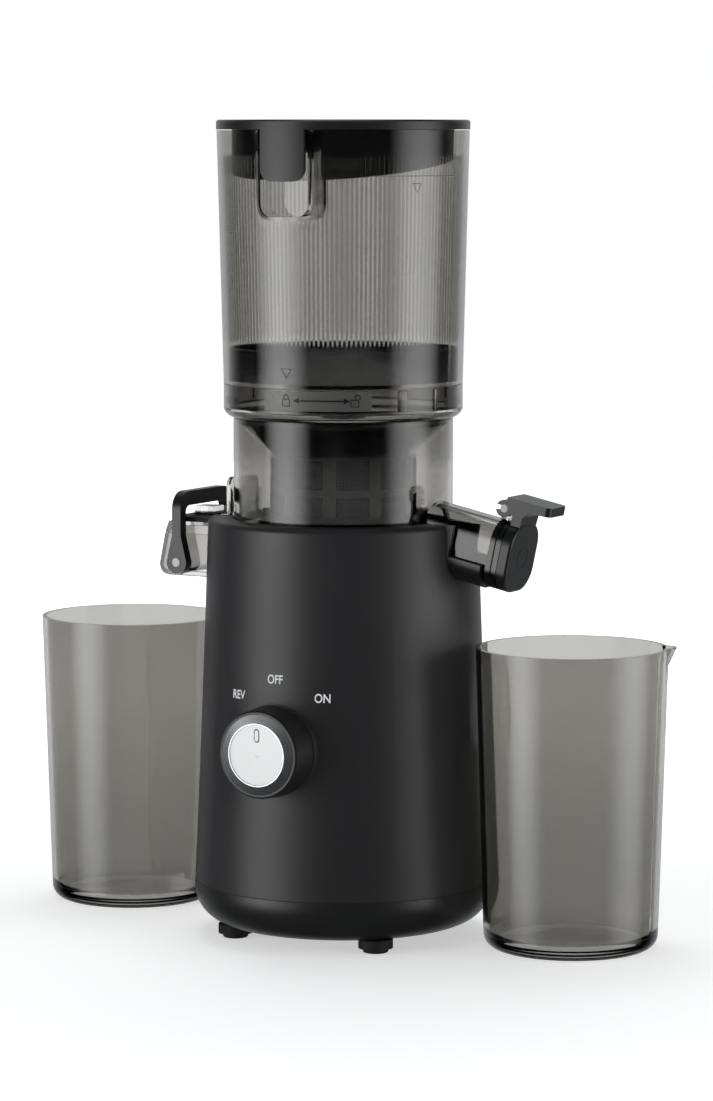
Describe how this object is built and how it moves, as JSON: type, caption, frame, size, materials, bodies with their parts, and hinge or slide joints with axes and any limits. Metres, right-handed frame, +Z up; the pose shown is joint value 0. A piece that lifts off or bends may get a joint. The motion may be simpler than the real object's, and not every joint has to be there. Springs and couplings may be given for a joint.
{
  "type": "cold press juicer",
  "caption": "Vertical cold press juicer: tapered motor base with rotary knob, smoky bowl with juice spout and pulp outlet, hopper with hinged lid, loose cups.",
  "frame": {"origin": "on the floor under the drive axis of the motor base", "axes": "+Z up along the drive axis, -Y toward the knob, +X toward the juice spout"},
  "size_m": [0.3923, 0.1829, 0.45],
  "materials": {
    "housing_plastic": "Smooth matt dark grey lacquer on the motor housing",
    "tray_plastic": "Smooth satin near-black plastic",
    "black_rubber": "Soft matt black silicone rubber",
    "steel": "Plain turned steel",
    "black_plastic": "Smooth semi-gloss black plastic",
    "gloss_black": "Glossy smoky black plastic",
    "ferrite": "Dull dark grey sintered magnet",
    "cast_alloy": "Cast light alloy",
    "brass": "Plain bronze and brass",
    "lamination": "Stacked motor steel",
    "copper": "Enamelled copper",
    "gear_nylon": "Natural off-white nylon",
    "board": "Green circuit board",
    "knob_plastic": "Satin dark grey plastic",
    "bright_metal": "Bright bevelled metal",
    "pearl_plastic": "Fine silver-white satin metal",
    "smoky_clear": "Smooth clear smoky grey plastic",
    "smoky_plate": "Darker smoky plate with a fine texture",
    "strainer_plastic": "Smooth dark plastic frame",
    "brushed_mesh": "Fine perforated stainless steel",
    "auger_plastic": "Smooth dark grey plastic",
    "lid_plastic": "Satin near-black plastic",
    "smoky_cup": "Smooth clear smoky grey plastic"
  },
  "bodies": {
    "base": {"motor_housing": "housing_plastic", "bowl_well": "tray_plastic", "base_tray": "tray_plastic", "rubber_feet": "black_rubber", "tray_screws": "steel", "spout_saddle": "black_plastic", "shaft_seal": "black_rubber", "cord_gland": "black_rubber", "motor_can": "steel", "motor_magnets": "ferrite", "motor_end_cap": "cast_alloy", "motor_bearings": "steel", "brush_holders": "brass", "gearbox_case": "cast_alloy", "ring_gear": "steel", "gearbox_cover": "cast_alloy", "output_bush": "brass", "gearbox_screws": "steel", "motor_grommets": "black_rubber", "rotary_switch": "black_plastic", "control_board": "board", "reed_switch": "black_plastic"},
    "knob": {"knob_skirt": "knob_plastic", "knob_bevel": "bright_metal", "knob_face": "pearl_plastic", "knob_spindle": "steel"},
    "rotor": {"rotor_shaft": "steel", "rotor_core": "lamination", "rotor_windings": "copper", "commutator": "copper", "cooling_fan": "black_plastic"},
    "drive": {"planet_carrier": "steel"},
    "planet_1": {"planet_gear_1": "gear_nylon"},
    "planet_2": {"planet_gear_2": "gear_nylon"},
    "planet_3": {"planet_gear_3": "gear_nylon"},
    "bowl": {"juicing_bowl": "smoky_clear", "bowl_seal": "black_rubber", "bowl_magnet": "steel", "lock_plate": "smoky_plate", "spout_collar": "gloss_black", "cap_hinge_pin": "smoky_clear", "bail_pins": "smoky_clear", "cover_hinge_pin": "steel", "strainer_frame": "strainer_plastic", "strainer_mesh": "brushed_mesh"},
    "auger": {"auger_screw": "auger_plastic", "auger_socket": "steel"},
    "juice_cap": {"juice_cap": "black_plastic", "cap_plug": "black_rubber"},
    "pulp_cover": {"pulp_cover": "smoky_clear", "cover_pad": "black_rubber"},
    "pulp_bail": {"pulp_bail": "black_plastic"},
    "hopper": {"hopper_shell": "smoky_clear", "hopper_funnel": "black_plastic", "hopper_seal": "black_rubber", "lid_hinge_pin": "steel"},
    "lid": {"lid_disc": "lid_plastic", "lid_skirt": "lid_plastic"},
    "juice_cup": {"juice_cup": "smoky_cup"},
    "pulp_cup": {"pulp_cup": "smoky_cup"}
  },
  "joints": [
    {"name": "knob_turn", "type": "hinge", "parent": "base", "child": "knob", "pos_m": [0, -0.0974, 0.112], "axis": [0, -1, 0], "range_deg": [-45, 45]},
    {"name": "rotor_spin", "type": "hinge", "parent": "base", "child": "rotor", "pos_m": [0, 0, 0.06], "axis": [0, 0, 1], "continuous": true},
    {"name": "drive_spin", "type": "hinge", "parent": "base", "child": "drive", "pos_m": [0, 0, 0.139], "axis": [0, 0, 1], "continuous": true},
    {"name": "planet_1_spin", "type": "hinge", "parent": "drive", "child": "planet_1", "pos_m": [0.021, 0, 0.139], "axis": [0, 0, 1], "continuous": true},
    {"name": "planet_2_spin", "type": "hinge", "parent": "drive", "child": "planet_2", "pos_m": [-0.0105, 0.01819, 0.139], "axis": [0, 0, 1], "continuous": true},
    {"name": "planet_3_spin", "type": "hinge", "parent": "drive", "child": "planet_3", "pos_m": [-0.0105, -0.01819, 0.139], "axis": [0, 0, 1], "continuous": true},
    {"name": "bowl_lift", "type": "slide", "parent": "base", "child": "bowl", "axis": [0, 0, 1], "range_m": [0, 0.08]},
    {"name": "auger_spin", "type": "hinge", "parent": "bowl", "child": "auger", "pos_m": [0, 0, 0.2102], "axis": [0, 0, 1], "continuous": true},
    {"name": "juice_cap_open", "type": "hinge", "parent": "bowl", "child": "juice_cap", "pos_m": [0.10396, 0, 0.242], "axis": [0, -1, 0], "range_deg": [0, 110]},
    {"name": "bail_swing", "type": "hinge", "parent": "bowl", "child": "pulp_bail", "pos_m": [-0.0904, 0, 0.2046], "axis": [0, -1, 0], "range_deg": [0, 110]},
    {"name": "cover_tilt", "type": "hinge", "parent": "bowl", "child": "pulp_cover", "pos_m": [-0.0694, 0, 0.2294], "axis": [0, 1, 0], "range_deg": [0, 28]},
    {"name": "hopper_twist", "type": "hinge", "parent": "bowl", "child": "hopper", "pos_m": [0, 0, 0.306], "axis": [0, 0, 1], "range_deg": [0, 34]},
    {"name": "lid_open", "type": "hinge", "parent": "hopper", "child": "lid", "pos_m": [0, 0.074, 0.4465], "axis": [-1, 0, 0], "range_deg": [0, 100]},
    {"name": "juice_cup_slide", "type": "slide", "parent": "base", "child": "juice_cup", "axis": [1, 0, 0], "range_m": [0, 0.12]},
    {"name": "pulp_cup_slide", "type": "slide", "parent": "base", "child": "pulp_cup", "axis": [-1, 0, 0], "range_m": [0, 0.12]}
  ],
  "couplings": [
    {"joint": "drive_spin", "follows": "rotor_spin", "ratio": 0.14286},
    {"joint": "auger_spin", "follows": "rotor_spin", "ratio": 0.14286},
    {"joint": "planet_1_spin", "follows": "rotor_spin", "ratio": -0.34286},
    {"joint": "planet_2_spin", "follows": "rotor_spin", "ratio": -0.34286},
    {"joint": "planet_3_spin", "follows": "rotor_spin", "ratio": -0.34286},
    {"joint": "cover_tilt", "follows": "bail_swing", "ratio": 0.25}
  ]
}
